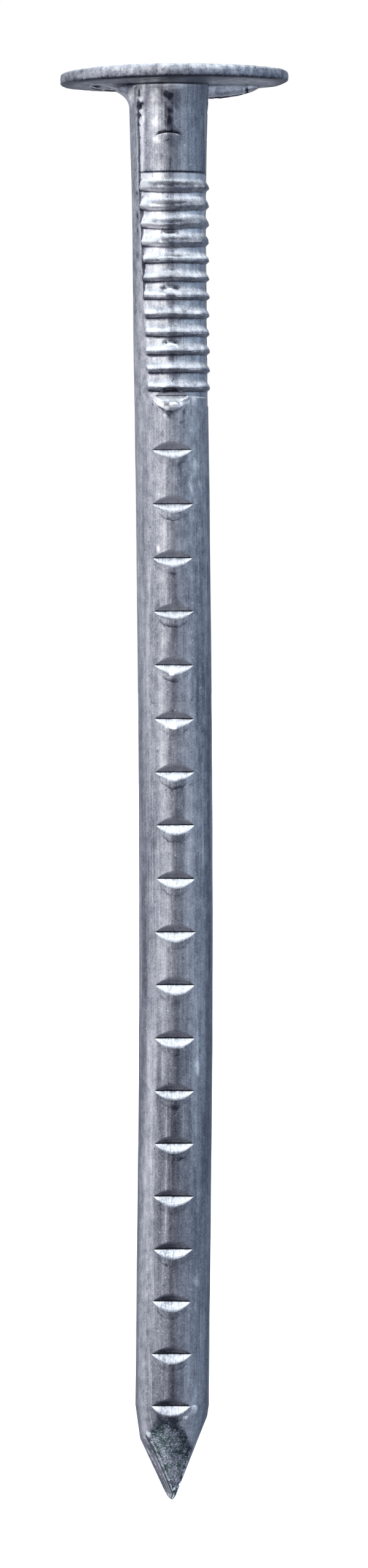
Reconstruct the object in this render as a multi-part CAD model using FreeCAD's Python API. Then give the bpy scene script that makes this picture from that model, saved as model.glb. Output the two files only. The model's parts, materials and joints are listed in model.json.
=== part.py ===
import FreeCAD, Part

import math
import os

# A bare wire nail, 3.1 x 60 mm, forged from one length of drawn wire: a large flat head, a neck with
# gripping rings, a barbed shank and a pinched point. It is one piece of metal, so it is one solid.
#
# Millimetres. The origin is on the shank's axis, in the plane of the head's underside. +Z points from
# the shank to the head. -Y is the front. An azimuth is in degrees about the axis, 0 at the front and
# positive towards +X.

# Wire and length
shank_radius = 1.55
length_under_head = 59.5

# Head: a thin disc, upset slightly off centre
head_radius = 4.82
head_thickness = 0.60
head_rim_round = 0.20
head_offset = 0.18

# Neck: the plain stretch that the dies grip while the head is upset
neck_radius = 1.60
neck_length = 3.68

# Gripping rings, pressed into the wire below the neck
ring_count = 12
ring_pitch = 0.764
first_crest_depth = 4.30
crest_radius = 1.675
broad_ring_count = 3
broad_crest_width = 0.52
crest_width = 0.32
valley_radius_upper = 1.53
valley_radius_lower = 1.50
groove_depth_below_neck = 0.10
ring_zone_end = 13.39
ring_zone_chamfer = 0.05

# Parting strips: two plain stretches between the dies, where the rings are missing. Each keeps its
# azimuths along the neck and slants to its lower ones along the ring zone.
strip_radius_top = 1.65
strip_radius_bottom = 1.56
strip_azimuths_neck = ((-100.0, -56.0), (100.0, 140.0))
strip_azimuths_bottom = ((-95.0, -36.0), (100.0, 150.0))

# Webs of metal left by the parting line where the neck meets the head
left_web_azimuths = (-94.0, -66.0)
left_web_reach = 1.90
left_web_depth = 0.80
right_fin_azimuth = 110.0
right_fin_reach = 3.70
right_fin_depth = 0.48
right_fin_bulge = 0.14
right_fin_thickness = 0.34

# Barb notches: two opposite rows of V cuts across the shank, a little closer together towards the point
notch_count = 20
notch_azimuths = (0.0, 180.0)
first_notch_pitch = 2.2583
notch_pitch_shrink = 0.0032
first_notch_depth = 13.072
notch_cut = 0.241
notch_rise = 0.333
notch_drop = 0.390

# Point: the end is swaged to a cone, then pinched to four flats that lean in to one apex
swage_start = 55.50
swage_angle = 8.2
apex_depth = 59.62
front_slope = 0.4127
left_slope = 0.415
right_slope = 0.3875
left_flat_azimuth = -79.4
point_flats = (
    (0.0, front_slope),
    (180.0, front_slope),
    (left_flat_azimuth, left_slope),
    (90.0, right_slope),
)

origin = FreeCAD.Vector(0, 0, 0)
up = FreeCAD.Vector(0, 0, 1)
cutter_size = 12.0
cut_margin = 0.30


def outward(azimuth):
    """The horizontal unit vector away from the axis at this azimuth."""
    angle = math.radians(azimuth)
    return FreeCAD.Vector(math.sin(angle), -math.cos(angle), 0)


def lathe_point(radius, z):
    """A point of a half section in the XZ plane."""
    return FreeCAD.Vector(radius, 0, z)


def run(*points):
    """Straight edges through these points."""
    return [Part.makeLine(a, b) for a, b in zip(points, points[1:])]


def arc(start, middle, end):
    """One round edge through three points."""
    return Part.Arc(start, middle, end).toShape()


def lathe(edges, first_azimuth=None, last_azimuth=None):
    """The solid swept by a closed half section, all the way round or between two azimuths."""
    section = Part.Face(Part.Wire(edges))
    if first_azimuth is None:
        return section.revolve(origin, up, 360)
    # the half section lies at azimuth 90
    section.rotate(origin, up, first_azimuth - 90)
    return section.revolve(origin, up, last_azimuth - first_azimuth)


def head():
    """The flat disc, with its rim rounded above and below."""
    disc = Part.makeCylinder(head_radius, head_thickness, FreeCAD.Vector(head_offset, 0, 0), up)
    rims = [edge for edge in disc.Edges if isinstance(edge.Curve, Part.Circle)]
    return disc.makeFillet(head_rim_round, rims)


def ring_edges():
    """The half section's outline from the neck's lower edge down through the rings to the shank."""
    edges = []
    groove = lathe_point(valley_radius_upper, -neck_length - groove_depth_below_neck)
    edges += run(lathe_point(neck_radius, -neck_length), groove)
    last = groove
    for ring in range(ring_count):
        width = broad_crest_width if ring < broad_ring_count else crest_width
        z = -first_crest_depth - ring * ring_pitch
        start = lathe_point(valley_radius_lower, z + width / 2)
        end = lathe_point(valley_radius_upper, z - width / 2)
        edges += run(last, start)
        edges.append(arc(start, lathe_point(crest_radius, z), end))
        last = end
    chamfer_top = lathe_point(valley_radius_lower, -ring_zone_end + ring_zone_chamfer)
    edges += run(last, chamfer_top, lathe_point(shank_radius, -ring_zone_end))
    return edges


def blank():
    """The neck, the rings all the way round, the plain shank and the swaged end."""
    tip_radius = shank_radius - (length_under_head - swage_start) * math.tan(math.radians(swage_angle))
    # the neck runs on into the head, so that the two share a volume and not only a face
    inside_head = head_thickness / 2
    edges = run(lathe_point(0, inside_head), lathe_point(neck_radius, inside_head))
    edges += run(lathe_point(neck_radius, inside_head), lathe_point(neck_radius, -neck_length))
    edges += ring_edges()
    edges += run(
        lathe_point(shank_radius, -ring_zone_end),
        lathe_point(shank_radius, -swage_start),
        lathe_point(tip_radius, -length_under_head),
        lathe_point(0, -length_under_head),
        lathe_point(0, inside_head),
    )
    return lathe(edges)


def sector(azimuths, z):
    """A triangle at height z that covers the part of the nail between two azimuths."""
    reach = 2 * shank_radius
    corners = [FreeCAD.Vector(0, 0, z)]
    corners += [outward(azimuth) * reach + FreeCAD.Vector(0, 0, z) for azimuth in azimuths]
    return Part.makePolygon(corners + corners[:1])


def parting_strip(azimuths_neck, azimuths_bottom):
    """A plain, slightly tapered strip from the head down to the end of the ring zone."""
    sections = [
        sector(azimuths_neck, 0),
        sector(azimuths_neck, -neck_length),
        sector(azimuths_bottom, -ring_zone_end),
    ]
    wedge = Part.makeLoft(sections, True, True)
    taper = Part.makeCone(strip_radius_bottom, strip_radius_top, ring_zone_end,
                          FreeCAD.Vector(0, 0, -ring_zone_end), up)
    return wedge.common(taper)


def left_web():
    """The hollow web, a quarter of an ellipse, that carries the left strip out under the head."""
    inner = neck_radius / 2
    lower = lathe_point(neck_radius, -left_web_depth)
    outer = lathe_point(neck_radius + left_web_reach, 0)
    centre = lathe_point(neck_radius + left_web_reach, -left_web_depth)
    ellipse = Part.Ellipse(lower, outer, centre)
    edges = run(lathe_point(inner, 0), lathe_point(inner, -left_web_depth), lower)
    edges.append(Part.ArcOfEllipse(ellipse, 0, math.pi / 2).toShape())
    edges += run(outer, lathe_point(inner, 0))
    return lathe(edges, *left_web_azimuths)


def right_fin():
    """The thin crescent of flash that hangs under the head, with a lower edge that bulges."""
    inner = neck_radius / 2
    top_in = lathe_point(inner, 0)
    low_in = lathe_point(inner, -right_fin_depth)
    low_out = lathe_point(neck_radius, -right_fin_depth)
    tip = lathe_point(right_fin_reach, 0)
    middle = (low_out + tip) * 0.5 - FreeCAD.Vector(0, 0, right_fin_bulge)
    edges = run(top_in, low_in, low_out)
    edges.append(arc(low_out, middle, tip))
    edges += run(tip, top_in)
    fin = Part.Face(Part.Wire(edges)).extrude(FreeCAD.Vector(0, right_fin_thickness, 0))
    fin.translate(FreeCAD.Vector(0, -right_fin_thickness / 2, 0))
    fin.rotate(origin, up, right_fin_azimuth - 90)
    return fin


def notch(azimuth, depth_below_head):
    """A V-shaped cutter across the shank: a short face above its floor and a longer one below."""
    floor = shank_radius - notch_cut
    open_end = shank_radius + cut_margin
    spread = (open_end - floor) / notch_cut
    z = -depth_below_head
    half_width = shank_radius
    corners = [
        FreeCAD.Vector(-half_width, -floor, z),
        FreeCAD.Vector(-half_width, -open_end, z + notch_rise * spread),
        FreeCAD.Vector(-half_width, -open_end, z - notch_drop * spread),
    ]
    section = Part.Face(Part.makePolygon(corners + corners[:1]))
    cutter = section.extrude(FreeCAD.Vector(2 * half_width, 0, 0))
    cutter.rotate(origin, up, azimuth)
    return cutter


def notch_depths():
    """How far below the head each notch of a row is."""
    depths = [first_notch_depth]
    for step in range(notch_count - 1):
        depths.append(depths[-1] + first_notch_pitch - step * notch_pitch_shrink)
    return depths


def notches():
    """Both rows of notch cutters."""
    return [notch(azimuth, depth) for azimuth in notch_azimuths for depth in notch_depths()]


def point_flat(azimuth, slope):
    """A block whose inner face is one flat of the point, leaning in to the apex."""
    apex = FreeCAD.Vector(0, 0, -apex_depth)
    normal = outward(azimuth) - up * slope
    corner = FreeCAD.Vector(-cutter_size / 2, -cutter_size / 2, 0)
    block = Part.makeBox(cutter_size, cutter_size, cutter_size, corner)
    block.Placement = FreeCAD.Placement(apex, FreeCAD.Rotation(up, normal))
    return block


def nail():
    """The whole nail as one solid."""
    strips = [
        parting_strip(neck, bottom)
        for neck, bottom in zip(strip_azimuths_neck, strip_azimuths_bottom)
    ]
    body = head().fuse([blank(), left_web(), right_fin()] + strips)
    flats = [point_flat(azimuth, slope) for azimuth, slope in point_flats]
    body = body.cut(notches() + flats)
    return body.removeSplitter().Solids[0]


shape = nail()
print("valid", shape.isValid(), "volume mm3", round(shape.Volume, 2))
os.makedirs("parts", exist_ok=True)
shape.exportStep("parts/nail.step")
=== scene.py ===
import json
from collections import namedtuple
from math import copysign, cos, pi, radians, sin, tan
from types import SimpleNamespace

import bpy
import numpy as np
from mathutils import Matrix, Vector


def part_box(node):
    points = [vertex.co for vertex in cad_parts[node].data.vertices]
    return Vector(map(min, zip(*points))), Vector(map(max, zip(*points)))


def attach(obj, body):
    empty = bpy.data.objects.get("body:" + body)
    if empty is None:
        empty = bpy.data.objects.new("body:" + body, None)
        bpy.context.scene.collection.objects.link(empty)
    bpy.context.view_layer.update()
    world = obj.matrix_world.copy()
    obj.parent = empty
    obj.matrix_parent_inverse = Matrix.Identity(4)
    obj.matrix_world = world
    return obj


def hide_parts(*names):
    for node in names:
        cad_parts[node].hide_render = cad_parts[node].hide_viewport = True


# A bare wire nail with a large flat head, a ringed neck, a barbed shank and a pinched point.
#
# The mesh code works in millimetres in the row's frame: the origin is on the shank's axis in the plane
# of the head's underside, +Z runs up to the head and -Y is the front. An azimuth is in radians about
# the axis, 0 at the front and positive towards +X. A depth is counted down from the head's underside.

MM = 0.001

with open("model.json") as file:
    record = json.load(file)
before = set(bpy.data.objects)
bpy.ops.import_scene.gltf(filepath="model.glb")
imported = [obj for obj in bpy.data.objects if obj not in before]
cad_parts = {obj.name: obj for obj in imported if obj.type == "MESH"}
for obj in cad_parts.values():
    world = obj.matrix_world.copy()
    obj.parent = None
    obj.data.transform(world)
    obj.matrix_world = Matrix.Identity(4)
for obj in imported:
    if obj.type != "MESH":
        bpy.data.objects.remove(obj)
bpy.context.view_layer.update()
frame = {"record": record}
nail_low, nail_high = (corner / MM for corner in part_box("nail"))
mounts = {mount["name"]: mount for mount in frame["record"]["mounts"]}

# Sizes that the frame gives
shank_radius = mounts["shank"]["dims"]["r_mm"]
shank_length = mounts["shank"]["dims"]["length_mm"]
head_radius = (nail_high.y - nail_low.y) / 2
head_offset = (nail_high.x + nail_low.x) / 2
head_thickness = nail_high.z
nail_length = -nail_low.z

# The rest of the nail's sizes
neck_radius = 1.56
neck_end = 3.68
ring_zone_end = 13.39
swage_start = ring_zone_end + shank_length
swage_slope = tan(radians(8.2))

# How much brighter or duller the metal is painted in places, mostly painted light and shade
# painted shade that darkens the wire towards the tip
tip_painted_shade = 0.35
neck_shade = 0.3
neck_line = 1.2
seam_shine = 0.9
# painted shade in the crescents, the darker the deeper
remnant_shade = 14
glint_shine = 1.1
smooth_flat_shine = 0.12
sheared_shine = 0.3
ridge_shine = 1.6
outline_shade = 0.26
left_front_shade = 0.3
left_side_shine = 0.38

# The thinnest that the tip gets
least_radius = 0.04

# Columns of the grid. They crowd together at the front and the back, where the notches are.
columns = 128
column_crowding = 0.2


# Helpers


def ease(low, high, value):
    """0 below low, 1 above high, and an even curve between."""
    t = np.clip((value - low) / (high - low), 0, 1)
    return t * t * (3 - 2 * t)


def bell(value, centre, width):
    """A soft bell of height 1 that is gone at width from its centre."""
    t = np.clip(np.abs((value - centre) / width), 0, 1)
    return (1 - t * t) ** 2


def turn_from(azimuth, centre=0):
    """The signed angle from centre to azimuth, the short way round."""
    return (azimuth - centre + pi) % (2 * pi) - pi


def surface_noise(azimuth, z, cells_round, cell_height, seed):
    """Smooth noise from -1 to 1 over a surface of revolution, without a seam."""
    levels = 1024
    table = np.random.default_rng(seed).uniform(-1, 1, (cells_round, levels))
    u = (azimuth / (2 * pi)) % 1 * cells_round
    v = z / cell_height + levels / 2
    column, level = np.floor(u).astype(int), np.floor(v).astype(int)
    across, along = ease(0, 1, u - column), ease(0, 1, v - level)
    near, far = column % cells_round, (column + 1) % cells_round
    low, high = level % levels, (level + 1) % levels
    lower = table[near, low] * (1 - across) + table[far, low] * across
    upper = table[near, high] * (1 - across) + table[far, high] * across
    return lower * (1 - along) + upper * along


def around_axis(radius, azimuth, z):
    """Points from cylinder coordinates."""
    return np.stack(np.broadcast_arrays(radius * np.sin(azimuth), -radius * np.cos(azimuth), z), axis=-1)


def grid_azimuth(count):
    """The azimuths of a ring of this many columns."""
    turn = np.arange(count) * 2 * pi / count
    return turn - column_crowding * np.sin(2 * turn)


# Barb notches: V cuts in two rows, front and back

notch_count = 20
first_notch_pitch = 2.2583
notch_pitch_shrink = 0.0032
first_notch = 13.072
notch_cut = 0.241
notch_rise = 0.333
notch_drop_first = 0.345
notch_drop_last = 0.435
row_margin = 0.01
row_spread = 0.1
lip_height = 0.03
lip_depth = 0.33
crease_height = 0.004
crease_depth = 0.035
chatter_height = 0.008
notch_neighbourhood = 1.3
least_facing = 0.3


def notch_sizes():
    """The notches' places and shapes as arrays of (notch, row), slightly uneven."""
    rng = np.random.default_rng(7)
    shape = (notch_count, 2)
    step = np.arange(notch_count)[:, None] * np.ones(2)
    share = step / (notch_count - 1)
    drop = notch_drop_first + (notch_drop_last - notch_drop_first) * share
    depth = first_notch + step * first_notch_pitch - notch_pitch_shrink * step * (step - 1) / 2
    return {
        "number": step,
        "z": -depth + rng.uniform(-0.012, 0.012, shape),
        "turn": np.radians(-2.6 * share + rng.uniform(-1, 1, shape)),
        "floor": shank_radius - notch_cut * rng.uniform(0.93, 1.04, shape),
        "rise": notch_rise * rng.uniform(0.93, 1.07, shape),
        "drop": drop * rng.uniform(0.95, 1.06, shape),
        "tilt": rng.uniform(-0.015, 0.015, shape),
        "lip": lip_height * rng.uniform(0.7, 1.4, shape),
    }


notches = notch_sizes()


def notch_at(index, azimuth):
    """One notch's sizes at each azimuth, the front row's in front and the back row's behind."""
    back = (np.cos(azimuth) < 0).astype(int)
    n = SimpleNamespace(**{name: values[index][back] for name, values in notches.items()})
    # how far round from the middle of its own row each azimuth is
    n.off = turn_from(azimuth, back * pi + n.turn)
    depth = shank_radius - n.floor
    n.reach = (shank_radius * np.cos(n.off) - n.floor) / depth
    n.share = np.clip(n.reach, 0, 1)
    n.beside = row_margin + row_spread * ease(0, 2.5, -n.reach)
    n.z = n.z + n.tilt * np.sin(n.off)
    ragged = surface_noise(azimuth, 3 * n.number, 44, 1, 11)
    n.drop = n.drop * (1 + 0.05 * ragged)
    return n


def notch_rows(index, azimuth):
    """Heights of the grid's rows along one notch, from above it to below its lip."""
    n = notch_at(index, azimuth)
    above = n.rise * n.share + n.beside
    below = n.drop * n.share + n.beside
    lip = lip_depth * np.sqrt(n.share) + n.beside
    rows = [n.z + above + 0.035]
    rows += [n.z + above * part for part in (1, 0.66, 0.33, 0.14)]
    rows += [n.z + crease_height, n.z]
    rows += [n.z - below * part for part in (0.12, 0.4, 0.7, 1)]
    rows += [n.z - below - lip * part for part in (0.1, 0.45, 0.8, 0.9, 1)]
    return rows


def notch_plane(n, height):
    """The radius of one notch's two flat faces."""
    slope = np.where(height > 0, n.rise, n.drop) / (shank_radius - n.floor)
    return (n.floor + np.abs(height) / slope) / np.maximum(np.cos(n.off), least_facing)


def notch_crease(n, height):
    """How near each point is to the foot of the upper face, and the painted shade there."""
    # the creases get wider and their painted shade darker from notch to notch
    amount = (n.number + 6) / (notch_count + 6)
    crease = (height > crease_height / 2) * bell(height, 0, 0.05 + 0.03 * amount)
    return crease, crease * (0.5 + 0.5 * amount)


def notch_lip(n, azimuth, z, height):
    """How far the lip below one notch stands out, and the painted shade along it."""
    reach = lip_depth * np.sqrt(n.share) + n.beside
    down = (-height - n.drop * n.share) / reach
    on_lip = (down > 0) & (down < 1.05) & (n.share > 0)
    middle = ease(0.25, 0.75, n.share) * on_lip
    swell = (1 - 0.45 * down) * (1 - ease(0.8, 1, down))
    frayed = surface_noise(azimuth, z + n.number, 70, 0.1, 13)
    torn = np.maximum(surface_noise(azimuth, 7 * n.number, 30, 1, 14) + 0.45, 0)
    line = 0.55 * torn * bell(down + 0.09 * frayed, 0.9, 0.17)
    band = (0.1 + 0.1 * frayed) * (down < 0.9)
    return n.lip * middle * swell, np.maximum(line, band) * middle


def cut_notches(radius, azimuth, z):
    """The radius with the notches cut, where the cut faces and the upper ones are, and the painted shade
    in the creases and along the lips.
    """
    cut = np.array(radius)
    inside, upper, dark = (np.zeros_like(cut) for _ in range(3))
    for index in range(notch_count):
        if np.all(np.abs(z - notches["z"][index][0]) > notch_neighbourhood):
            continue
        n = notch_at(index, azimuth)
        height = z - n.z
        plane = notch_plane(n, height)
        here = (n.reach > 0) & (plane < radius)
        crease, crease_dark = notch_crease(n, height)
        chatter = surface_noise(azimuth, 5 * n.number, 128, 1, 12) * ease(0, 0.05, -height)
        cut = np.where(here, plane + chatter_height * chatter - crease_depth * crease, cut)
        inside = np.maximum(inside, here)
        upper = np.maximum(upper, here & (height > crease_height / 2))
        swell, lip_dark = notch_lip(n, azimuth, z, height)
        cut = cut + swell
        dark = np.maximum(dark, np.maximum(crease_dark * here, lip_dark))
    return cut, inside, upper, dark


# Neck and gripping rings

ring_count = 12
ring_pitch = 0.764
first_crest = 4.3
crest_out_first = 0.165
crest_out_last = 0.125
broad_rings = 4
# (reach above, reach below) of a broad and of a narrow crest
broad_reach = (0.34, 0.21)
narrow_reach = (0.28, 0.17)
ring_dip_broad = 0.1
ring_dip_narrow = 0.045
ring_lift = 0.03
valley_high = 1.53
valley_low = 1.49
valley_hollow = 0.04
last_ridge_depth = 13.17
last_ridge_height = 0.035
groove_radius = 1.5
strip_radius = 1.56
strip_flare = 0.14
strip_flare_depth = 6.2
strip_flare_power = 1.6
strip_neck = ((radians(-110), radians(-53)), (radians(100), radians(140)))
strip_bottom = ((radians(-104), radians(-37)), (radians(100), radians(150)))
seam_reach = 0.25
groove_depth = 0.04
# How much brighter the ring zone's parts are painted, as (everywhere, and added at the left): painted
# light and shade, with the valleys lighter and the crests darker, more light at the left, a painted shade
# line under each crest, and painted highlights along the narrow crests and at the broad crests' left ends
broad_valley_tone = (0.45, 0.3)
narrow_valley_tone = (0.18, 0.16)
broad_crest_tone = (-0.75, 0.6)
under_crest_tone = (-0.8, -0.7)
narrow_shine_tone = (0.3, 0.45)
narrow_crest_tone = -0.45
# painted highlights at the broad crests' left ends
left_end_shine = 1.3
left_end_azimuth = radians(-36)
# Each crescent is (depth, half width in radians, height of its slope)
remnants = (
    (2.17, 0.36, 0.13),
    (6.36, 0.27, 0.18),
    (8.65, 0.3, 0.16),
    (10.94, 0.24, 0.16),
)
remnant_arch = 0.11
remnant_depth = 0.07


def crest(ring):
    """(depth, reach above, reach below, how far it stands out) of one ring."""
    share = ring / (ring_count - 1)
    above, below = broad_reach if ring < broad_rings else narrow_reach
    out = crest_out_first + (crest_out_last - crest_out_first) * share
    return first_crest + ring * ring_pitch, above, below, out


def ring_sway(azimuth, ring):
    """How far up one ring wanders at each azimuth. It dips at the front and the back."""
    dip = ring_dip_broad if ring < broad_rings else ring_dip_narrow
    wander = 0.02 * surface_noise(azimuth, 0 * azimuth + 2 * ring, 9, 1, 40)
    return wander + ring_lift - dip * np.cos(azimuth) ** 2


def ring_rows(azimuth):
    """Heights of the grid's rows down the ring zone."""
    flat = 0 * azimuth
    rows = [flat - neck_end - part for part in (-0.03, 0, 0.03, 0.1, 0.2)]
    for ring in range(ring_count):
        depth, above, below, _ = crest(ring)
        sway = ring_sway(azimuth, ring)
        rows += [flat - depth + sway + above * part for part in (1, 0.75, 0.45, 0.18)]
        rows += [flat - depth + sway - below * part for part in (0, 0.35, 0.7, 1)]
        if ring < ring_count - 1:
            start, end = depth + below, depth + ring_pitch - crest(ring + 1)[1]
            rows += [flat - start - (end - start) * part for part in (0.12, 0.38, 0.62, 0.86)]
    return rows


def pressed_radius(azimuth, z):
    """The radius of the arcs that the dies pressed."""
    depth = -z
    since = (depth - first_crest) % ring_pitch / ring_pitch
    radius = valley_high - (valley_high - valley_low) * since - valley_hollow * bell(since, 0.4, 0.3)
    radius = np.where(depth < first_crest, groove_radius, radius)
    radius = np.where(depth > first_crest + ring_pitch * (ring_count - 0.8), valley_low, radius)
    amount = 1 + 0.16 * surface_noise(azimuth, z, 24, 0.2, 60)
    for ring in range(ring_count):
        middle, above, below, out = crest(ring)
        offset = z + middle - ring_sway(azimuth, ring)
        up = np.clip(offset / above, 0, 1)
        down = np.clip(-offset / below, 0, 1)
        profile = np.where(offset > 0, 1 - ease(0, 1, up), (1 - down**2) ** 1.1)
        radius = radius + out * amount * profile
    return radius


def ring_tone(azimuth, z):
    """How bright the rings are painted, as painted light and shade, and how far each point is on a crest.
    """
    left = 1 - ease(-0.3, 0.1, turn_from(azimuth))
    left_end = left_end_shine * bell(turn_from(azimuth, left_end_azimuth), 0, 0.2)

    def shade(everywhere, at_left):
        return everywhere + at_left * left

    narrow = ease(0, 1, -z - first_crest - ring_pitch * (broad_rings - 1))
    tone = shade(*broad_valley_tone) * (1 - narrow) + shade(*narrow_valley_tone) * narrow
    crests = 0 * azimuth
    for ring in range(ring_count):
        middle, above, below, _ = crest(ring)
        offset = z + middle - ring_sway(azimuth, ring)
        on_crest = 1 - np.clip(np.abs(offset) / np.where(offset > 0, above * 0.9, below), 0, 1) ** 4
        crests = np.maximum(crests, on_crest)
        tone = tone + shade(*under_crest_tone) * bell(offset, -below, 0.06)
        if ring < broad_rings:
            tone = tone + shade(*broad_crest_tone) * on_crest + left_end * bell(offset, 0, 0.14)
        else:
            tone = tone + narrow_crest_tone * on_crest * (offset < 0.03)
            tone = tone + shade(*narrow_shine_tone) * bell(offset, 0.1, 0.09)
    return tone, crests


def remnant_line(azimuth, depth, half_width):
    """Height of the crescent that an older stroke of the notch tool left at this depth."""
    off = np.clip(turn_from(azimuth) / half_width, -1.3, 1.3)
    return -depth + remnant_arch * (1 - off**2)


def notch_remnants(azimuth, z):
    """How deep the crescents are, and the painted glints along their lower lips."""
    deep = 0 * azimuth
    glint = 0 * azimuth
    chipped = np.maximum(0.6 + 1.2 * surface_noise(azimuth, z, 80, 0.08, 62), 0)
    for depth, half_width, above in remnants:
        line = remnant_line(azimuth, depth, half_width)
        fade = 1 - ease(0.6, 1.1, np.abs(turn_from(azimuth)) / half_width)
        wedge = np.where(z > line, 1 - (z - line) / above, 1 + (z - line) / 0.025)
        deep = deep + fade * remnant_depth * np.clip(wedge, 0, 1)
        glint = glint + fade * bell(z - line, -0.075, 0.055) * chipped
    return deep, glint


def strip_edges(z):
    """The azimuths where each plain strip starts and ends, at each height."""
    share = np.clip((-z - neck_end) / (ring_zone_end - neck_end), 0, 1)
    return [
        (neck[0] + (bottom[0] - neck[0]) * share, neck[1] + (bottom[1] - neck[1]) * share)
        for neck, bottom in zip(strip_neck, strip_bottom)
    ]


def strip_cover(azimuth, z):
    """1 on the two plain strips and 0 on the pressed arcs between them."""
    ragged = radians(1.6) * surface_noise(azimuth, z, 8, 0.16, 70)
    cover = 0 * azimuth
    for start, end in strip_edges(z):
        half = (end - start) / 2
        off = np.abs(turn_from(azimuth, (start + end) / 2)) + ragged
        cover = np.maximum(cover, 1 - ease(half - 0.03, half + 0.05, off))
    return cover * (1 - ease(-0.05, 0, -z - ring_zone_end))


def seam_gap(azimuth, z):
    """The distance in front of the left strip's edge, in millimetres."""
    return turn_from(azimuth, strip_edges(z)[0][1]) * shank_radius


def seam_nearness(azimuth, z):
    """1 on the left strip's front edge, falling to 0 beside it and below the ring zone."""
    near = 1 - np.abs(seam_gap(azimuth, z)) / seam_reach
    return np.clip(near, 0, 1) * (1 - ease(8, ring_zone_end, -z))


def left_seam(azimuth, z):
    """How far the torn flash beside the left strip stands out, and the groove along it."""
    torn = 0.07 * surface_noise(azimuth, z, 56, 0.17, 71) + 0.04 * surface_noise(azimuth, z, 110, 0.11, 72)
    flash = 1 - ease(1.9, 2.4, -z)
    gap = seam_gap(azimuth, z)
    groove = groove_depth * (1 - ease(8, 9, -z))
    return torn * flash * bell(gap, 0.12, 0.2) - groove * bell(gap, 0.02, 0.09)


# Point: the end is swaged to a cone, then pinched to four flats that lean in to one apex

apex_depth = nail_length + 0.28
# above is how far above the common apex a flat ends, and bulge is how round it is across
Flat = namedtuple("Flat", "azimuth slope above bulge")
sheared_flats = (
    Flat(radians(-9.3), 0.393, 0, 0.15),
    Flat(radians(180), 0.384, 0, 0.15),
)
smooth_flats = (
    Flat(radians(-84), 0.47, 0, 0.1),
    Flat(radians(-48), 0.5135, 0.384, 0),
    Flat(radians(86), 0.39, 0, 0.08),
)
least_reach = 0.06
# the reach of a flat that faces away
far_reach = 100
tip_round = 0.2
glint_bead_gain = 1.6
flat_shine = radians(-32)
left_front = radians(-14)
left_side = radians(-50)
bite_depth = 58.84
bite_azimuth = radians(85)
bite_reach = 0.2
# the bite's slopes above and below its deepest place
bite_above = 0.05
bite_below = 0.15


def flat_reach(azimuth, z, flat):
    """The distance from the axis to one flat, a shallow cylinder that bulges along its middle."""
    distance = np.maximum(flat.slope * (z + apex_depth - flat.above), least_reach)
    off = turn_from(azimuth, flat.azimuth)
    facing = np.cos(off)
    crowned = np.sqrt(np.maximum(facing, 0) ** 2 + 4 * flat.bulge * distance * np.sin(off) ** 2)
    return np.where(facing > 0.05, 2 * distance / np.maximum(facing + crowned, 0.05), far_reach)


def ridge_glint_beads(azimuth, z, inward, between, uncut):
    """The painted glints in beads along the smooth flats' edges, with a painted shade line beside the
    first.
    """
    edge = np.maximum(bell(inward, 0, 0.05), 0.8 * bell(between, 0, 0.03))
    edge = np.maximum(edge, 0.9 * np.maximum(bell(inward, 0.13, 0.035), bell(inward, 0.3, 0.05)))
    beads = np.maximum(surface_noise(azimuth, z, 90, 0.11, 82) + 0.25, 0)
    return (glint_bead_gain * edge * beads - 0.3 * bell(inward, 0.07, 0.045)) * (1 - uncut)


def cut_point(radius, azimuth, z):
    """The radius with the flats cut, the sheared and the smooth ones, the outlines of both, where shade is
    painted, and the painted glints along the smooth flats' edges.
    """
    rough = 0.01 * surface_noise(azimuth, z, 40, 0.1, 80) + 0.005 * surface_noise(azimuth, z, 90, 0.05, 81)
    smooth, next_smooth = np.sort([flat_reach(azimuth, z, flat) for flat in smooth_flats], axis=0)[:2]
    sheared = np.min([flat_reach(azimuth, z, flat) for flat in sheared_flats], axis=0) + rough
    body = np.minimum(radius, smooth)
    is_sheared = ease(-0.004, 0.012, body - sheared)
    is_smooth = ease(0, 0.02, radius - smooth) * (1 - is_sheared)
    outline = bell(body - sheared, 0.03, 0.11)
    ridge = ridge_glint_beads(azimuth, z, sheared - smooth, next_smooth - smooth, smooth >= radius + 0.02)
    return np.minimum(body, sheared), is_sheared, is_smooth, outline, ridge


def bite(azimuth, z):
    """How deep the little chip is that is missing from the right edge near the tip."""
    below = -z - bite_depth
    wedge = np.where(below < 0, 1 + below / bite_above, 1 - below / bite_below)
    return bite_reach * np.clip(wedge, 0, 1) * bell(turn_from(azimuth, bite_azimuth), 0, 1.7)


def rounded_tip(z):
    """What is left of the point's width towards its very end."""
    over = np.clip((-z - nail_length + tip_round) / tip_round, 0, 1)
    return np.sqrt(1 - 0.97 * over**2)


def tip_rows(low):
    """Heights of the grid's rows from below the last notch to the tip."""
    parts = np.concatenate([np.linspace(0.03, 0.7, 30), np.linspace(0.715, 0.985, 22), [0.993, 1]])
    return [low + (-nail_length - low) * part for part in parts]


# Scuffs and painted light, each as (depth, azimuth in degrees, half width in degrees, half height, how far
# raised, how much brighter it is painted). Many are painted glints and painted shade.

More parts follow.
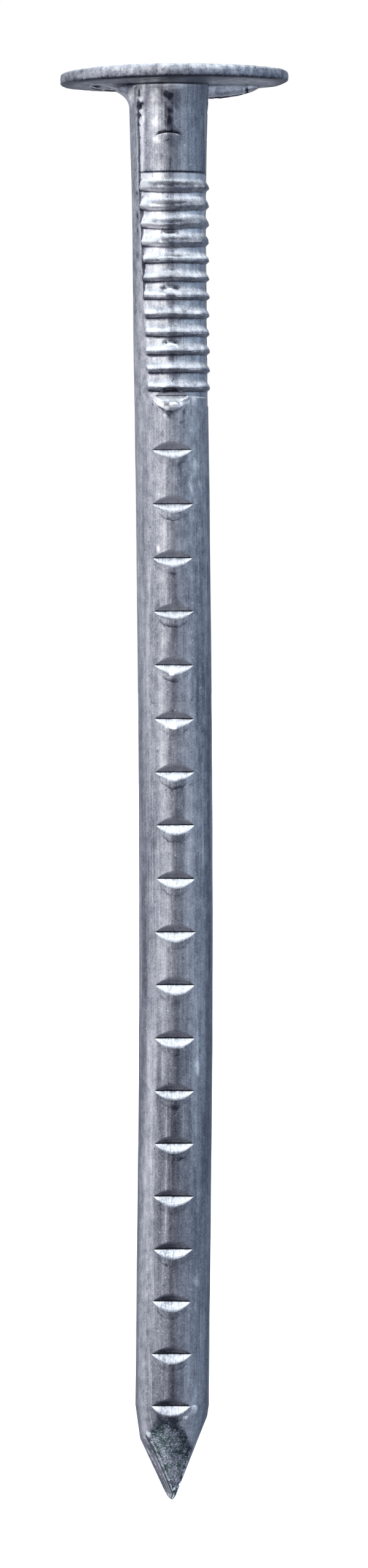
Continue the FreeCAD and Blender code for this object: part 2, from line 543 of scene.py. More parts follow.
scuffs_and_painted_light = (
    # darker and lighter spots on the neck and in the valleys
    (0.48, -3, 13, 0.26, -0.01, -1.7),
    (0.6, -26, 15, 0.45, 0, 0.8),
    (1.25, 1, 13, 1, 0, -0.9),
    (1.75, 3, 9, 0.4, 0, -0.6),
    (1.6, -19, 12, 0.5, 0, 0.5),
    (2.36, -20, 9, 0.2, 0, 0.9),
    (2.5, 1, 14, 0.3, 0, -0.4),
    (3, -13, 14, 0.8, 0, -0.3),
    (3.4, 3, 3, 0.26, 0, -0.9),
    (4.76, 2, 7, 0.05, 0, -1.2),
    (5.53, 2, 8, 0.05, 0, -1.2),
    (7.02, 1, 8, 0.09, 0, -1),
    (7.81, 0, 16, 0.05, 0, -0.7),
    (9.35, 1, 9, 0.06, 0, -0.8),
    (10.12, 0, 12, 0.05, 0, -0.7),
    # torn flash with painted glints, and holes with painted shade, beside the left strip
    (0.55, -49, 6, 0.24, 0.04, 2.2),
    (0.88, -49, 8, 0.16, -0.06, -3.2),
    (1.06, -44, 5, 0.15, 0.05, 2.4),
    (1.3, -49, 8, 0.13, -0.06, -3),
    (1.5, -45, 6, 0.16, 0.05, 2.4),
    (1.6, -47, 3, 0.07, -0.03, -2.4),
    (1.72, -50, 5, 0.12, -0.06, -3),
    (1.88, -48, 5, 0.1, 0.04, 2.2),
    (2.06, -51, 4, 0.16, -0.04, -2.4),
    (4.62, -59, 4, 0.2, -0.02, -1.2),
    (5.5, -60, 4, 0.22, -0.02, -1.2),
    (6.15, -60, 3, 0.16, -0.02, -1),
    (7.3, -61, 4, 0.3, -0.01, -0.7),
    # painted light and lines of painted shade below the first notch, and lighter smears between the others
    (13.42, -6, 34, 0.26, 0.02, 1.8),
    (13.72, 4, 30, 0.06, 0, -1.2),
    (13.8, -8, 24, 0.14, 0.03, 0.5),
    (13.92, 2, 24, 0.05, 0.01, -1.3),
    (16, 38, 9, 0.4, 0.004, 1),
    (16.75, 33, 10, 0.45, 0.006, 1.2),
    (16.9, 48, 8, 0.4, 0.006, 0.9),
    (17.55, 40, 8, 0.3, 0.004, 0.8),
    (18.05, 30, 7, 0.25, 0.004, 1),
    (19.45, -23, 4, 0.12, 0.004, 1.2),
    (24.66, -6, 12, 0.26, 0.02, 0.5),
    (26.9, -7, 11, 0.28, 0.018, 0.5),
    (29.05, -3, 14, 0.22, 0.01, 0.3),
    (41.2, 36, 9, 0.4, 0.004, 0.7),
    (50.1, 38, 10, 0.3, 0.004, 0.7),
    # burrs beside the last notch, with painted glints
    (55.2, 38, 7, 0.2, 0.03, 1.3),
    (55.55, 38, 8, 0.3, 0.035, 1.6),
    (55.72, 31, 5, 0.14, 0.03, 1.3),
    (54.95, 44, 14, 0.16, 0.01, 0.9),
    (54.7, 48, 6, 0.1, 0.006, 0.7),
    (55.95, 22, 6, 0.16, 0.06, 1.8),
    # a burr at the left flat's upper end, with a painted glint
    (56.62, -46, 7, 0.16, 0.01, 1.6),
    # a painted glint on the lower side of the bite
    (59.02, 14, 14, 0.08, 0, 2),
)


def scuff_and_light_sums(azimuth, z):
    """How far the scuffs raise the surface, and how much brighter they are painted, partly painted glints
    and shade.
    """
    raised = 0 * azimuth
    bright = 0 * azimuth
    torn = np.maximum(0.7 + surface_noise(azimuth, z, 70, 0.09, 90), 0)
    for depth, turn, half_width, half_height, height, gain in scuffs_and_painted_light:
        off = turn_from(azimuth, radians(turn))
        spot = bell(off, 0, radians(half_width)) * bell(z, -depth, half_height) * torn
        raised = raised + height * spot
        bright = bright + gain * spot
    return raised, bright


# The wire below the head


def wire_zones(depth):
    """How much each depth belongs to the neck, and how much to the ring zone."""
    in_neck = 1 - ease(neck_end, neck_end + 0.05, depth)
    return in_neck, (1 - in_neck) * (1 - ease(-0.05, 0, depth - ring_zone_end))


def uncut_radius(azimuth, z, cover):
    """The radius before any scuff, notch or flat."""
    depth = -z
    in_neck, in_zone = wire_zones(depth)
    radius = neck_radius * in_neck + shank_radius * (1 - in_neck - in_zone)
    last_ridge = last_ridge_height * bell(depth, last_ridge_depth, 0.1)
    radius = radius + (pressed_radius(azimuth, z) + last_ridge) * in_zone
    flare = np.maximum(strip_flare_depth - depth, 0) / strip_flare_depth
    strip = strip_radius + strip_flare * flare**strip_flare_power
    radius = radius + (strip - radius) * cover + left_seam(azimuth, z)
    radius = radius - swage_slope * np.maximum(depth - swage_start, 0)
    radius = radius + 0.0045 * surface_noise(azimuth, z, 12, 1.3, 73)
    return radius + 0.0022 * surface_noise(azimuth, z, 64, 0.9, 74)


def neck_painted_shading(azimuth, z, in_neck, cover):
    """The neck's painted light and shade: a painted highlight beside the left strip's edge, painted shade
    on its right side, and a painted shade line at its lower end.
    """
    wear = -neck_line * bell(-z, neck_end + 0.02, 0.06) * (1 - cover)
    wear = wear + seam_shine * in_neck * bell(seam_gap(azimuth, z), 0.17, 0.2)
    return wear - neck_shade * in_neck * ease(0.1, 0.6, turn_from(azimuth)) * (1 - cover)


def low_painted_shading(azimuth, z, sheared, smooth_flat, outline):
    """The painted light and shade on the point and the lower shank: the smooth flats a little lighter,
    painted light on the sheared flats towards the left front, and painted shade along their outlines.
    """
    wear = smooth_flat_shine * smooth_flat - outline_shade * outline
    wear = wear + sheared_shine * sheared * bell(turn_from(azimuth, flat_shine), 0, 0.7)
    # painted light keeps the left side bright down to the tip while painted shade dulls the front left
    low = ease(30, 55, -z) * (1 - smooth_flat) * (1 - sheared)
    wear = wear - left_front_shade * low * bell(turn_from(azimuth, left_front), 0, 0.5)
    return wear + left_side_shine * low * bell(turn_from(azimuth, left_side), 0, 0.6)


def wire_surface(azimuth, z):
    """The nail's radius at each azimuth and height, and the masks that say what its surface is like.

    cut is 1 on a notch's faces, upper on the one above its floor, flat on the point's sheared flats,
    polish where the dies left it smooth, forged where it has no drawing streaks, and seam on the left
    strip's front edge. The remaining mask says how much brighter the surface is: some scuffs, and
    mostly painted light and shade.
    """
    depth = -z
    in_neck, in_zone = wire_zones(depth)
    cover = strip_cover(azimuth, z)
    remnant, glint = (part * (1 - cover) for part in notch_remnants(azimuth, z))
    raised, wear = scuff_and_light_sums(azimuth, z)
    radius = uncut_radius(azimuth, z, cover) - remnant + raised
    radius, cut, upper, dark = cut_notches(radius, azimuth, z)
    radius, sheared, smooth_flat, outline, ridge = cut_point(radius, azimuth, z)
    radius = np.maximum(radius - bite(azimuth, z), least_radius) * rounded_tip(z)
    tone, crests = ring_tone(azimuth, z)
    pressed = in_zone * (1 - cover)
    # painted shade in the notches' creases and along their lips, painted shade in the crescents, the
    # darker the deeper, painted glints on the crescents' lower lips, and the rings' painted light and
    # shade
    wear = wear - dark - remnant_shade * remnant + glint_shine * glint + tone * pressed
    wear = wear + neck_painted_shading(azimuth, z, in_neck, cover)
    wear = wear + low_painted_shading(azimuth, z, sheared, smooth_flat, outline) + ridge_shine * ridge
    # painted shade, darker towards the tip, spares the notches' lower faces
    wear = wear - tip_painted_shade * depth / nail_length * (1 - cut * (1 - upper))
    polish = in_neck * ease(0.8, 1.3, depth) * (1 - 0.5 * ease(1.9, 2.5, depth))
    polish = polish + 0.6 * in_zone * (1 - crests)
    return radius, {
        "cut": cut,
        "upper": upper,
        "flat": np.clip(sheared + 0.9 * ridge, 0, 1),
        "wear": wear,
        "polish": np.clip(polish, 0, 1) * (1 - cover),
        "forged": 0.4 * np.maximum(cover, crests * pressed),
        "seam": seam_nearness(azimuth, z),
    }


def wire_rows(azimuth):
    """Heights of the grid's rows from the root of the neck to the tip."""
    flat = 0 * azimuth
    smile_depth, smile_width, _ = remnants[0]
    smile = remnant_line(azimuth, smile_depth, smile_width)
    rows = [flat - depth for depth in np.linspace(root_depth + 0.07, 1.86, 9)]
    rows += [smile + offset for offset in (0.11, 0.08, 0.045, 0.01, 0, -0.025, -0.06, -0.12)]
    rows += [flat - depth for depth in np.linspace(2.4, neck_end - 0.12, 8)]
    rows += ring_rows(azimuth)
    previous = rows[-1]
    for index in range(notch_count):
        around = notch_rows(index, azimuth)
        between = 1 if index == 0 else 7
        parts = np.linspace(0, 1, between + 2)[1:-1]
        rows += [previous + (around[0] - previous) * part for part in parts]
        rows += around
        previous = around[-1]
    return rows + tip_rows(previous)


# The slight bow, deepest this share of the way along the nail
bow_place = 0.57
bow_depth = 0.23
tip_shift = 0.12
neck_shift = -0.045


def bend(points):
    """Moves points sideways by the nail's slight bow."""
    along = np.clip(-points[..., 2] / nail_length, 0, 1)
    belly = bell(along, bow_place, np.where(along < bow_place, 0.55, 0.45))
    points[..., 0] += bow_depth * belly + tip_shift * along + neck_shift * ease(0, 0.02, along)
    return points


# Head

rim_round_top = 0.13
rim_round_bottom = 0.14
rim_barrel = 0.012
head_lean = radians(0.15)
underside_lean = radians(0.75)
rim_droop = 0.05
left_droop = 0.0042
left_flattening = 0.06
right_lift = 0.08
back_lift = 0.05
web_reach = 3.5
web_azimuth = radians(-80)
web_half = radians(17)
web_depth = 0.82
root_depth = 1.05
root_corner = 0.09
root_steps = 22
# the corner's share of the way from the underside to the neck
corner_start = 0.4
corner_end = 0.6
corner_shine = radians(8)
underside_shine = radians(60)
head_inner = web_reach + 0.1
dent_height = 0.008
dent_depth = 0.009
wave_height = 0.01


def head_section():
    """(radius, height) along the head's outline, from the top's middle to the underside."""
    rim = head_radius
    points = [(rim * part, head_thickness) for part in (0.06, 0.18, 0.32, 0.46, 0.6, 0.72, 0.82, 0.9)]
    for angle in np.linspace(0, pi / 2, 6):
        radius = rim - rim_round_top * (1 - sin(angle))
        points.append((radius, head_thickness - rim_round_top * (1 - cos(angle))))
    side = head_thickness - rim_round_top - rim_round_bottom
    for part in (0.25, 0.5, 0.75):
        barrel = rim_barrel * sin(pi * part)
        points.append((rim + barrel, head_thickness - rim_round_top - side * part))
    for angle in np.linspace(0, pi / 2, 7):
        radius = rim - rim_round_bottom * (1 - cos(angle))
        points.append((radius, rim_round_bottom * (1 - sin(angle))))
    points += [(radius, 0) for radius in np.linspace(rim - rim_round_bottom - 0.08, rim - 0.75, 6)]
    points += [(radius, 0) for radius in np.linspace(rim - 0.9, head_inner, 3)]
    return points


def head_surface(azimuth, radius, height):
    """Points of the head, with the dents and folds of an upset rim."""
    out = ease(0.8 * head_radius, head_radius, radius)
    under = ease(0.1, 0, height)
    share = height / head_thickness
    level = 4 * height + 0 * azimuth
    ripple = 0.03 * surface_noise(azimuth, 0 * azimuth, 17, 1, 3)
    ripple += 0.014 * surface_noise(azimuth, level, 46, 1, 4)
    dents = surface_noise(azimuth, 3 * level + radius, 120, 1, 5)
    waves = surface_noise(azimuth, 2.2 * radius + 0 * azimuth, 26, 1, 6)
    z = height + dent_height * out * dents + wave_height * waves * (0.4 + under)
    # the rim droops, most on the left, and its underside rises at the back and on the right
    left = np.maximum(-np.sin(azimuth), 0) * radius
    z = z - share * (rim_droop * (radius / head_radius) ** 2 + left_droop * left**2)
    z = z + (1 - share) * back_lift * out * (1 - np.cos(azimuth)) / 2
    right = ease(0.88 * head_radius, head_radius, np.sin(azimuth) * radius)
    z = z + (1 - share) * right_lift * right
    flattened = left_flattening * bell(turn_from(azimuth, -pi / 2), 0, 0.4)
    points = around_axis(radius + out * (ripple + dent_depth * dents - flattened), azimuth, z)
    points[:, 0] += head_offset
    return points


def underside_shade(azimuth):
    """The painted shade on the head's underside: most at the front, and least at the right."""
    front = bell(turn_from(azimuth), 0, 1.2)
    right = bell(turn_from(azimuth, underside_shine), 0, 0.6)
    return 0.25 + 0.35 * front - 0.4 * right


def head_masks(azimuth, radius, height):
    """The surface masks of one ring of the head."""
    front = bell(turn_from(azimuth), 0, 1.2)
    out = ease(0.85 * head_radius, 0.97 * head_radius, radius)
    wavy = height + 0.03 * surface_noise(azimuth, 0 * azimuth, 31, 1, 8)
    crease = out * bell(wavy, 0.05, 0.14)
    crown = out * ease(0.25, 0.45, wavy) * (0.05 + 0.42 * front)
    under = ease(0.06, 0, height) * underside_shade(azimuth)
    # painted light and shade on the rim: a painted highlight along its upper front, the rim a little
    # darker, and painted shade in the crease at its foot and on the underside
    return {"forged": np.ones_like(azimuth), "wear": crown - 0.25 * out - 0.6 * crease - under}


def square_root(t, azimuth, base):
    """(radius, height) this share of the way across the underside, round the corner and down the neck."""
    flat = 0 * azimuth
    if t < corner_start:
        return head_inner + (base + root_corner - head_inner) * (t / corner_start), flat
    if t < corner_end:
        angle = pi / 2 * (t - corner_start) / (corner_end - corner_start)
        return base + root_corner * (1 - sin(angle)), flat - root_corner * (1 - cos(angle))
    z = flat - root_corner - (root_depth - root_corner) * (t - corner_end) / (1 - corner_end)
    return wire_surface(azimuth, z)[0], z


def hollow_root(t, base):
    """(radius, height) the same share of the way along the web, a hollow quarter of an ellipse."""
    angle = pi / 2 * t
    radius = head_inner - (head_inner - base) * sin(angle)
    return radius, -web_depth * (1 - cos(angle)) - (root_depth - web_depth) * t**3


def root_masks(t, azimuth, z, web):
    """The surface masks of one ring between the head's underside and the neck."""
    neck = float(ease(0.45, 0.6, t)) * (1 - web)
    crease = bell(t, 0.42, 0.16) * (1 - web)
    corner = bell(t, 0.6, 0.1) * (1 - web) * bell(turn_from(azimuth, corner_shine), 0, 0.4)
    masks = {name: values * neck for name, values in wire_surface(azimuth, z)[1].items()}
    under = underside_shade(azimuth) * (1 - neck) * (1 - web)
    # a painted highlight on the corner under the head, painted shade in the crease and on the underside,
    # and the web a little lighter
    masks["wear"] = masks["wear"] + 1.4 * corner - 0.9 * crease - under + 0.3 * web * (1 - neck)
    masks["forged"] = 1 - neck
    masks["seam"] = seam_nearness(azimuth, z) * float(ease(0.5, 0.7, t))
    return masks


def root_rows(azimuth):
    """Points and masks from the underside to the neck and down it, past the web on the left."""
    rows = []
    web = 1 - ease(web_half * 0.72, web_half * 1.15, np.abs(turn_from(azimuth, web_azimuth)))
    base, _ = wire_surface(azimuth, 0 * azimuth - root_depth)
    for t in np.arange(root_steps) / root_steps:
        square_radius, square_z = square_root(t, azimuth, base)
        round_radius, round_z = hollow_root(t, base)
        radius = square_radius + (round_radius - square_radius) * web
        z = square_z + (round_z - square_z) * web
        rows.append((around_axis(radius, azimuth, z), root_masks(t, azimuth, square_z, web)))
    return rows


def lean_head(points):
    """Lifts the head's right side slightly, its underside more than its top."""
    share = np.clip(points[..., 2] / head_thickness, 0, 1)
    angle = underside_lean + (head_lean - underside_lean) * share
    beyond = ease(0, 1, np.hypot(points[..., 0], points[..., 1]) - neck_radius)
    points[..., 2] += np.tan(angle) * points[..., 0] * beyond
    return points


# Fins: the thin flash that hangs under the head, a long crescent on the right and a short one on the
# end of the left web, each with a hole painted on it in dark painted shade, not cut through

# A fin tapers from the radius start to outer. Its painted hole is at a radius and a share of its height.
Fin = namedtuple("Fin", "azimuth start outer depth stations hole_radius hole_half hole_height seed")
fins = (
    Fin(radians(110), 1.75, 4.05, 0.53, 40, 3.42, 0.1, 0.2, 21),
    Fin(radians(-82), 2.7, 3.5, 0.24, 24, 3.12, 0.24, 0.45, 22),
)
fin_inner = 1.3
fin_root = 0.22
fin_half_thickness = 0.13
fin_bead = 0.035
fin_sides = 20
# painted light over the whole fin
fin_shine = 0.3


def fin_painted_shading(fin, radius, height):
    """The painted light and shade at one point of a fin: the fin a little lighter, a hole in painted shade
    with a painted highlight round it, a painted highlight along the bead and painted shade on its lowest
    edge.
    """
    hole = 2.4 * bell(radius, fin.hole_radius, fin.hole_half) * bell(height, fin.hole_height, 0.35)
    lip = 1.6 * bell(abs(radius - fin.hole_radius), fin.hole_half + 0.05, 0.07) * (height < 0.5)
    edge = -1.2 if height < 0.06 else 1.1 * bell(height, 0.16, 0.1)
    return fin_shine + edge + lip - hole


def tube_faces(stations, sides):
    """The faces of a closed tube of this many rings, each with this many points."""
    faces = []
    for start in range(0, (stations - 1) * sides, sides):
        for side in range(sides):
            a = start + side
            b = start + (side + 1) % sides
            faces.append((a, a + sides, b + sides, b))
    last = (stations - 1) * sides
    return faces + [tuple(range(sides)), tuple(reversed(range(last, last + sides)))]


def fin_shell(fin):
    """One fin's points, faces and painted light and shade: a closed shell that starts inside the neck and
    the head.
    """
    rng = np.random.default_rng(fin.seed)
    uneven = np.convolve(rng.normal(0, 0.012, fin.stations + 3), [0.2, 0.3, 0.3, 0.2], mode="valid")
    out = Vector((sin(fin.azimuth), -cos(fin.azimuth), 0))
    sideways = Vector((-out.y, out.x, 0))
    points = []
    wear = []
    for station in range(fin.stations):
        radius = fin_inner + (fin.outer - fin_inner) * station / (fin.stations - 1)
        reach = min(max((radius - fin.start) / (fin.outer - fin.start), 0), 1)
        depth = fin.depth * (1 - reach**2) ** 0.7 + uneven[station]
        for side in range(fin_sides):
            # from the top down one face, round the bead and up the other face
            angle = 2 * pi * (side + 0.5) / fin_sides
            height = 0.5 + 0.5 * cos(angle)
            thick = fin_half_thickness * (0.65 + 0.35 * height) + fin_bead * bell(height, 0.1, 0.2)
            across = copysign(min(1, 1.5 * abs(sin(angle))) * thick, sin(angle))
            across += 0.012 * rng.uniform(-1, 1)
            point = out * radius + sideways * across
            points.append((point.x, point.y, -depth + (depth + fin_root) * height))
            wear.append(fin_painted_shading(fin, radius, height))
    return lean_head(np.array(points)), tube_faces(fin.stations, fin_sides), wear


# Mesh


# The surface masks. Each is 0 where nothing else is said.
mask_names = ("cut", "upper", "flat", "wear", "polish", "forged", "seam")


def ring_faces(upper, lower):
    """Faces between two rings of points. The upper ring may have twice as many as the lower."""
    lower_next = np.roll(lower, -1)
    if len(upper) == len(lower):
        return np.stack([upper, lower, lower_next, np.roll(upper, -1)], axis=-1).tolist()
    corner, middle, far = upper[::2], upper[1::2], np.roll(upper, -2)[::2]
    faces = np.stack([corner, lower, middle], axis=-1).tolist()
    faces += np.stack([middle, lower, lower_next], axis=-1).tolist()
    faces += np.stack([middle, lower_next, far], axis=-1).tolist()
    return faces


def fan(ring, centre):
    """Triangles from a ring of point numbers to one point."""
    return [(centre, int(a), int(b)) for a, b in zip(ring, np.roll(ring, -1))]


def nail_mesh():
    """The whole nail as a closed mesh, with its surface masks as attributes."""
    azimuth = grid_azimuth(columns)
    head_azimuth = grid_azimuth(2 * columns)
    rows = [
        (head_surface(head_azimuth, radius, height), head_masks(head_azimuth, radius, height))
        for radius, height in head_section()
    ]
    rows += root_rows(azimuth)
    rows = [(lean_head(ring), masks) for ring, masks in rows]
    for z in wire_rows(azimuth):
        radius, masks = wire_surface(azimuth, z)
        rows.append((around_axis(radius, azimuth, z), masks))
    rings = [bend(ring) for ring, _ in rows]
    starts = np.cumsum([0] + [len(ring) for ring in rings])
    numbers = [np.arange(start, end) for start, end in zip(starts, starts[1:])]
    faces = []
    for upper, lower in zip(numbers, numbers[1:]):
        faces += ring_faces(upper, lower)
    top, tip = int(starts[-1]), int(starts[-1]) + 1
    faces += fan(numbers[0], top)
    faces += fan(numbers[-1][::-1], tip)
    points = np.vstack(rings + [rings[0].mean(axis=0), rings[-1].mean(axis=0)])
    shells = [fin_shell(fin) for fin in fins]
    for shell_points, shell_faces, _ in shells:
        faces += [tuple(number + len(points) for number in face) for face in shell_faces]
        points = np.vstack([points, shell_points])
    mesh = bpy.data.meshes.new("nail_body")
    mesh.from_pydata((points * MM).tolist(), [], faces)
    for name in mask_names:
        everywhere = np.zeros(len(points))
        everywhere[:top] = np.concatenate([masks.get(name, np.zeros(len(ring))) for ring, masks in rows])
        if name == "wear":
            everywhere[tip + 1:] = np.concatenate([wear for _, _, wear in shells])
        mesh.attributes.new(name, "FLOAT", "POINT").data.foreach_set("value", everywhere)
    mesh.shade_smooth()
    mesh.set_sharp_from_angle(angle=radians(38))
    return mesh


# Materials


class Shader:
    """Adds linked nodes to a tree. An input is a value or another node's output."""

    def __init__(self, tree):
        self.tree = tree

    def add(self, kind, inputs, **settings):
        """Adds a node of this kind, named without its ShaderNode prefix."""
        node = self.tree.nodes.new("ShaderNode" + kind)
        for name, value in settings.items():
            setattr(node, name, value)
        for name, value in inputs.items():
            if isinstance(value, bpy.types.NodeSocket):
                self.tree.links.new(value, node.inputs[name])
            else:
                node.inputs[name].default_value = value
        return node

    def math(self, operation, first, second=0):
        return self.add("Math", {0: first, 1: second}, operation=operation).outputs[0]

    def plus(self, first, second):
        return self.math("ADD", first, second)

    def minus(self, first, second):
        return self.math("SUBTRACT", first, second)

    def times(self, first, second):
        return self.math("MULTIPLY", first, second)

    def stretch(self, vector, scale):
        return self.add("VectorMath", {0: vector, 1: scale}, operation="MULTIPLY").outputs[0]

    def noise(self, vector, scale, detail=4, roughness=0.6):
        inputs = {"Vector": vector, "Scale": scale, "Detail": detail, "Roughness": roughness}
        return self.add("TexNoise", inputs).outputs["Fac"]

    def spread(self, value, low, high, to_low=0, to_high=1):
        inputs = {"Value": value, "From Min": low, "From Max": high, "To Min": to_low, "To Max": to_high}
        return self.add("MapRange", inputs, interpolation_type="SMOOTHSTEP").outputs["Result"]

    def blend(self, first, second, share):
        """The number first where share is 0 and second where it is 1."""
        return self.add("Mix", {0: share, 2: first, 3: second}).outputs[0]

    def tint(self, first, second, share):
        """The colour first where share is 0 and second where it is 1."""
        return self.add("Mix", {0: share, 6: first, 7: second}, data_type="RGBA").outputs[2]

    def mask(self, name):
        return self.add("Attribute", {}, attribute_name=name).outputs["Fac"]

    def ramp(self, value, stops):
        node = self.add("ValToRGB", {"Fac": value})
        while len(node.color_ramp.elements) < len(stops):
            node.color_ramp.elements.new(0.5)
        for element, (place, colour) in zip(node.color_ramp.elements, stops):
            element.position = place
            element.color = (*colour, 1)
        return node.outputs["Color"]

    def specks(self, vector, scale, core, edge):
        """1 in the middles of scattered cells and 0 between them."""
        cells = self.add("TexVoronoi", {"Vector": vector, "Scale": scale})
        return self.spread(cells.outputs["Distance"], core, edge, 1, 0)

    def weighted(self, base, *pairs):
        """Base, plus each weight times how far its value is from one half."""
        total = base
        for value, weight in pairs:
            total = self.plus(total, self.times(self.minus(value, 0.5), weight))
        return total


# Each noise is (stretch along x, y and z), scale, detail and roughness
metal_noises = {
    "streaks": ((1, 1, 0.05), 2, 4, 0.5),
    "lines": ((1, 1, 0.03), 12, 2, 0.6),
    "scratches": ((1, 1, 0.025), 9, 1, 0.6),
    "grain": ((1, 1, 1), 16, 3, 0.6),
    "mottle": ((1, 1, 0.7), 3, 4, 0.6),
    "patches": ((1, 1, 0.35), 0.9, 3, 0.6),
    "sparks": ((1, 1, 1), 13, 2, 0.5),
    "chatter": ((1, 0, 0.14), 18, 2, 0.7),
    "broken": ((1, 1, 0.8), 11, 3, 0.7),
    "specked": ((0.6, 0.6, 1), 9, 3, 0.7),
    "uneven": ((1, 1, 1), 9, 2, 0.6),
}
metal_colours = (
    (0, (0.06, 0.065, 0.085)),
    (0.3, (0.25, 0.26, 0.295)),
    (0.52, (0.47, 0.48, 0.51)),
    (0.75, (0.72, 0.72, 0.74)),
    (1, (0.95, 0.95, 0.95)),
)
green_tarnish = (0.8, 1.02, 0.92, 1)
blue_tarnish = (0.94, 1, 1.06, 1)
relief_height = 0.02


def metal_marks(shader, place, mask, noise):
    """Streaks where the wire is drawn, roughness where it is forged, pits, and flecks of painted glint."""
    streaks = shader.weighted(0, (noise.streaks, 0.9), (noise.lines, 0.3))
    rough = shader.weighted(0, (noise.specked, 0.45), (noise.mottle, 0.7))
    wobbly = shader.add("VectorMath", {0: place, 1: noise.uneven}, operation="ADD").outputs[0]
    pits = shader.specks(wobbly, 1.5, 0.05, 0.1)
    # painted glints in small bright flecks
    glint_flecks = shader.specks(shader.stretch(wobbly, (1.3, 1.3, 0.8)), 3.1, 0.09, 0.15)
    return SimpleNamespace(
        streaks=shader.times(streaks, mask.plain),
        rough=shader.times(rough, mask.forged),
        pits=shader.times(pits, shader.spread(noise.patches, 0.46, 0.5)),
        glint_flecks=shader.times(glint_flecks, shader.spread(noise.mottle, 0.47, 0.55)),
    )


def metal_tone(shader, mask, noise, marks):
    """How bright the metal is, with its painted light and shade."""
    wear, grain, mottle = mask.wear, noise.grain, noise.mottle
    patches, broken = noise.patches, noise.broken
    scratches = shader.times(shader.spread(noise.scratches, 0.66, 0.72), mask.plain)
    mottled_wear_and_shading = shader.times(wear, shader.weighted(0.6, (mottle, 1.2), (broken, 0.7)))
    seam = shader.spread(shader.weighted(mask.seam, (mottle, 0.3)), 0.7, 0.86, 0, 0.6)
    tone = shader.weighted(0.53, (grain, 0.58), (patches, 0.25), (mottle, 0.75))
    bright = (marks.streaks, shader.times(scratches, 0.15), shader.times(marks.glint_flecks, 0.5))
    for part in (*bright, mottled_wear_and_shading, marks.rough):
        tone = shader.plus(tone, part)
    for part in (shader.times(marks.pits, 0.4), seam):
        tone = shader.minus(tone, part)
    # the notches' lower faces are painted lit and their upper faces painted shaded
    shaded_upper_tone = shader.plus(shader.weighted(0.62, (mottle, 0.4), (grain, 0.4)), wear)
    lit_lower_tone = shader.plus(shader.weighted(0.92, (noise.chatter, 1.3), (broken, 1.3)), wear)
    flat_tone = shader.plus(shader.weighted(0.6, (grain, 2), (mottle, 1.4), (patches, 0.8)), wear)
    tone = shader.blend(tone, shader.blend(lit_lower_tone, shaded_upper_tone, mask.upper), mask.cut)
    return shader.blend(tone, flat_tone, mask.flat)


def metal_colour(shader, mask, noise, tone):
    """The colour of that tone, with a tarnish on the point's sheared flats."""
    colour = shader.ramp(tone, metal_colours)
    tarnish = shader.tint(green_tarnish, blue_tarnish, shader.spread(noise.mottle, 0.42, 0.58))
    inputs = {0: 1, 6: colour, 7: tarnish}
    tarnished = shader.add("Mix", inputs, data_type="RGBA", blend_type="MULTIPLY")
    return shader.tint(colour, tarnished.outputs[2], mask.flat)


def metal_roughness(shader, mask, noise):
    """Uneven, and glossier where the dies and the cutters left it smooth."""
    roughness = shader.spread(noise.patches, 0.3, 0.7, 0.34, 0.44)
    roughness = shader.blend(roughness, 0.18, mask.polish)
    roughness = shader.blend(roughness, 0.3, mask.cut)
    return shader.blend(roughness, 0.28, mask.flat)


def metal_relief(shader, mask, noise, marks):
    """The fine relief, as a normal."""
    height = shader.weighted(0.5, (noise.grain, 0.25), (noise.mottle, 0.7))
    height = shader.minus(shader.plus(height, marks.streaks), marks.pits)
    height = shader.plus(height, shader.times(marks.rough, 0.6))
    height = shader.blend(height, shader.times(noise.chatter, 0.6), mask.cut)
    flat_height = shader.weighted(0.5, (noise.sparks, 1.4), (noise.mottle, 1.2))
    height = shader.blend(height, flat_height, mask.flat)
    inputs = {"Height": height, "Strength": 1, "Distance": relief_height * MM}
    return shader.add("Bump", inputs).outputs["Normal"]


def drawn_metal():
    """Bare drawn wire: streaks along its length, fine grain, pits, bright cuts painted lit below and
    shaded above, dark, grainy flats, and painted light and shade.
    """
    material = bpy.data.materials.new("drawn_metal")
    material.use_nodes = True
    shader = Shader(material.node_tree)
    place = shader.add("TexCoord", {}).outputs["Object"]
    place = shader.stretch(place, (1 / MM, 1 / MM, 1 / MM))
    mask = SimpleNamespace(**{name: shader.mask(name) for name in mask_names})
    mask.plain = shader.minus(1, mask.forged)
    noise = SimpleNamespace(**{
        name: shader.noise(shader.stretch(place, stretch), *settings)
        for name, (stretch, *settings) in metal_noises.items()
    })
    marks = metal_marks(shader, place, mask, noise)
    tone = metal_tone(shader, mask, noise, marks)
    outputs = {
        "Base Color": metal_colour(shader, mask, noise, tone),
        "Roughness": metal_roughness(shader, mask, noise),
        "Normal": metal_relief(shader, mask, noise, marks),
    }
    principled = material.node_tree.nodes["Principled BSDF"]
    principled.inputs["Metallic"].default_value = 1
    for name, output in outputs.items():
        material.node_tree.links.new(output, principled.inputs[name])
    return material


def floor_paint():
    """Plain white paint, bright enough to run on into the background."""
    material = bpy.data.materials.new("floor_paint")
    material.use_nodes = True
    inputs = material.node_tree.nodes["Principled BSDF"].inputs
    inputs["Base Color"].default_value = (0.9, 0.9, 0.9, 1)
    inputs["Roughness"].default_value = 0.9
    inputs["Emission Color"].default_value = (1, 1, 1, 1)
    inputs["Emission Strength"].default_value = 0.55
    return material


# Stage

camera_distance = 297
camera_height = -22.15
view_centre = Vector((0.593, 0, -29.332))
view_height = 65.94
floor_size = 6000


def make_camera():
    """A long lens in front of the nail, level with its upper third."""
    data = bpy.data.cameras.new("camera")
    data.sensor_fit = "AUTO"
    data.sensor_width = 36
    data.lens = data.sensor_width * camera_distance / view_height
    data.clip_start = 0.01
    camera = bpy.data.objects.new("camera", data)
    bpy.context.scene.collection.objects.link(camera)
    camera.location = Vector((view_centre.x, -camera_distance, camera_height)) * MM
    aim = view_centre * MM - camera.location
    camera.rotation_euler = aim.to_track_quat("-Z", "Y").to_euler()
    bpy.context.scene.camera = camera


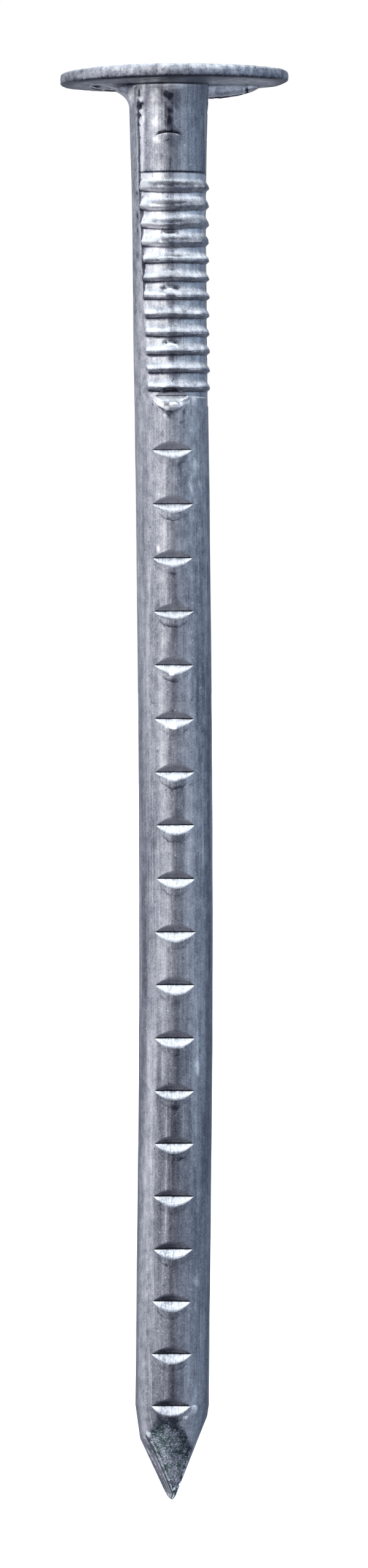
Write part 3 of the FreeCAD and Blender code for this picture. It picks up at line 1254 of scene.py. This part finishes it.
# The light round the horizon, from straight behind through the left, the front and the right
horizon = (
    (0, (0.24, 0.26, 0.31)),
    (0.12, (0.36, 0.37, 0.43)),
    (0.22, (0.52, 0.53, 0.6)),
    (0.31, (0.7, 0.71, 0.77)),
    (0.4, (1, 1.01, 1.05)),
    (0.455, (0.72, 0.72, 0.76)),
    (0.488, (0.14, 0.14, 0.18)),
    (0.515, (0.12, 0.13, 0.17)),
    (0.55, (0.32, 0.36, 0.44)),
    (0.61, (0.36, 0.42, 0.51)),
    (0.68, (0.34, 0.41, 0.52)),
    (0.76, (0.25, 0.31, 0.41)),
    (0.85, (0.13, 0.17, 0.24)),
    (1, (0.24, 0.26, 0.31)),
)
ceiling = (0.86, 0.93, 1.02, 1)
ground = (0.2, 0.21, 0.25, 1)
room_strength = 1.42


def make_world():
    """A white background, with a soft studio room for the metal to reflect."""
    world = bpy.data.worlds.new("studio")
    bpy.context.scene.world = world
    world.use_nodes = True
    world.node_tree.nodes.clear()
    shader = Shader(world.node_tree)
    direction = shader.add("TexCoord", {}).outputs["Generated"]
    split = shader.add("SeparateXYZ", {0: direction}).outputs
    turn = shader.math("ARCTAN2", split["X"], shader.times(split["Y"], -1))
    turn = shader.plus(shader.times(turn, 1 / (2 * pi)), 0.5)
    room = shader.tint(shader.ramp(turn, horizon), ceiling, shader.spread(split["Z"], 0.2, 0.65))
    room = shader.tint(room, ground, shader.spread(split["Z"], -0.8, -0.3, 1, 0))
    room = shader.add("Background", {"Color": room, "Strength": room_strength})
    white = shader.add("Background", {"Color": (1, 1, 1, 1)})
    path = shader.add("LightPath", {}).outputs["Is Camera Ray"]
    mix = shader.add("MixShader", {0: path, 1: room.outputs[0], 2: white.outputs[0]})
    shader.add("OutputWorld", {"Surface": mix.outputs[0]})


def make_floor():
    """A plain pale floor just under the point. The metal doesn't mirror it."""
    half = floor_size / 2 * MM
    z = nail_low.z * MM
    mesh = bpy.data.meshes.new("floor")
    corners = [(-half, -half, z), (half, -half, z), (half, half, z), (-half, half, z)]
    mesh.from_pydata(corners, [], [(0, 1, 2, 3)])
    mesh.materials.append(floor_paint())
    floor = bpy.data.objects.new("floor", mesh)
    bpy.context.scene.collection.objects.link(floor)
    floor.visible_glossy = False


make_camera()
make_world()
make_floor()
nail = bpy.data.objects.new("nail_body", nail_mesh())
bpy.context.scene.collection.objects.link(nail)
nail.data.materials.append(drawn_metal())
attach(nail, "root")
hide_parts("nail")
bpy.context.scene.view_settings.view_transform = "Standard"
